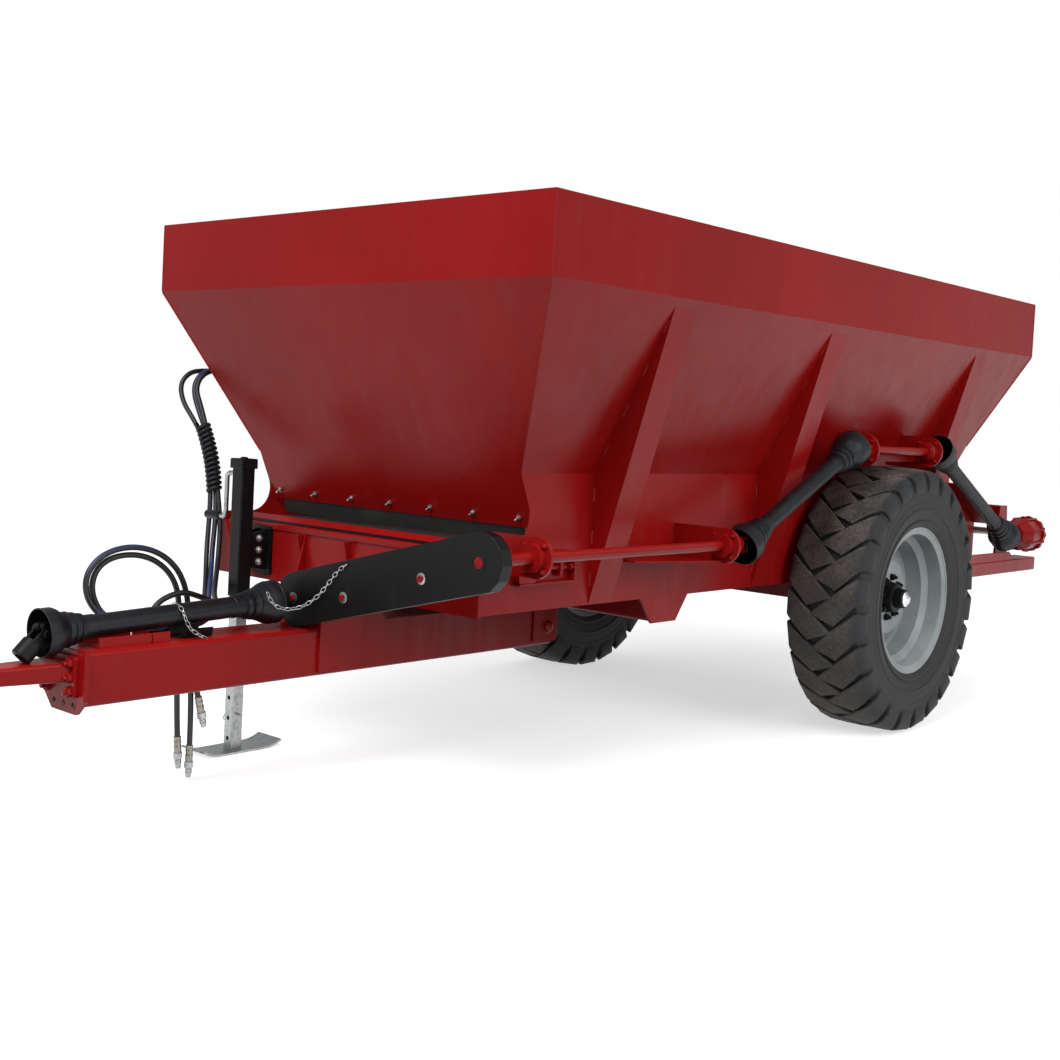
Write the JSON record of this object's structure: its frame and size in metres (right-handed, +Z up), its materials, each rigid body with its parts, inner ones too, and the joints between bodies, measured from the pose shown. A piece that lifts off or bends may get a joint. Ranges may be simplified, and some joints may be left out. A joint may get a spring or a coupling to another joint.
{
  "type": "manure spreader",
  "caption": "Towed manure spreader: deep sloping hopper over a belt, big wheels, side drive shafts, twin spinner discs and a parking jack.",
  "frame": {"origin": "on the ground, midway between the tip of the towing eye and the rims of the spinner discs, on the centre line", "axes": "+X forward to the towing eye, +Y to the machine's left, +Z up"},
  "size_m": [5.9, 2.2, 2.029],
  "materials": {
    "red_enamel": "gloss",
    "black_plastic": "satin",
    "silver_enamel": "satin",
    "black_rubber": "matte",
    "tyre_rubber": "matte",
    "bright_steel": "satin",
    "black_enamel": "satin"
  },
  "bodies": {
    "chassis": {"axle": "red_enamel", "belt_bearings": "red_enamel", "belt_scraper": "red_enamel", "conveyor_belt": "black_rubber", "cross_members": "red_enamel", "cross_shaft": "red_enamel", "disc_gearboxes": "red_enamel", "draw_crossmember": "red_enamel", "drawbar": "red_enamel", "drawbar_sleeve": "red_enamel", "drive_case": "black_enamel", "floor_plate": "red_enamel", "frame_side_left": "red_enamel", "frame_side_right": "red_enamel", "front_cross_panel": "red_enamel", "hitch_head": "red_enamel", "hopper_front": "red_enamel", "hopper_rear": "red_enamel", "hopper_side_left": "red_enamel", "hopper_side_right": "red_enamel", "input_bearing": "red_enamel", "input_shaft": "bright_steel", "jack_crank": "black_enamel", "jack_tube": "black_enamel", "outlet_frame": "red_enamel", "power_guard": "black_plastic", "power_shaft": "bright_steel", "rear_arms": "red_enamel", "rollers": "bright_steel", "side_brackets": "red_enamel", "side_gearbox": "red_enamel", "side_guard_front": "black_plastic", "side_guard_rear": "black_plastic", "side_joint_shaft_front": "bright_steel", "side_joint_shaft_rear": "bright_steel", "side_ribs": "red_enamel", "side_shaft": "red_enamel", "spinner_beam": "red_enamel", "towing_eye": "red_enamel", "upper_bracket": "red_enamel", "upper_shaft": "red_enamel", "shaft_rest": "black_enamel", "valve_block": "black_enamel", "hose_one": "black_rubber", "hose_two": "black_rubber", "hose_three": "black_rubber", "hose_couplers": "bright_steel"},
    "wheel_left": {"tyre_left": "tyre_rubber", "rim_left": "silver_enamel", "hub_left": "black_enamel"},
    "wheel_right": {"tyre_right": "tyre_rubber", "rim_right": "silver_enamel", "hub_right": "black_enamel"},
    "spinner_left": {"spinner_left": "red_enamel"},
    "spinner_right": {"spinner_right": "red_enamel"},
    "gate": {"gate": "red_enamel"},
    "jack_leg": {"jack_leg": "bright_steel"},
    "power_fork": {"power_fork": "bright_steel"}
  },
  "joints": [
    {"name": "wheel_left_spin", "type": "hinge", "parent": "chassis", "child": "wheel_left", "pos_m": [-1.12, 0.92, 0.592], "axis": [0, 1, 0], "continuous": true},
    {"name": "wheel_right_spin", "type": "hinge", "parent": "chassis", "child": "wheel_right", "pos_m": [-1.12, -0.92, 0.592], "axis": [0, 1, 0], "continuous": true},
    {"name": "spinner_left_spin", "type": "hinge", "parent": "chassis", "child": "spinner_left", "pos_m": [-2.65, 0.33, 0.64], "axis": [0, 0, 1], "continuous": true},
    {"name": "spinner_right_spin", "type": "hinge", "parent": "chassis", "child": "spinner_right", "pos_m": [-2.65, -0.33, 0.64], "axis": [0, 0, 1], "continuous": true},
    {"name": "gate_lift", "type": "slide", "parent": "chassis", "child": "gate", "axis": [0, 0, 1], "range_m": [0, 0.15]},
    {"name": "jack_leg_slide", "type": "slide", "parent": "chassis", "child": "jack_leg", "axis": [0, 0, 1], "range_m": [-0.2, 0]},
    {"name": "power_fork_lift", "type": "hinge", "parent": "chassis", "child": "power_fork", "pos_m": [2.535, 0, 0.6], "axis": [0, -1, 0], "range_deg": [0, 70]}
  ],
  "couplings": [
    {"joint": "spinner_right_spin", "follows": "spinner_left_spin", "ratio": -1}
  ]
}
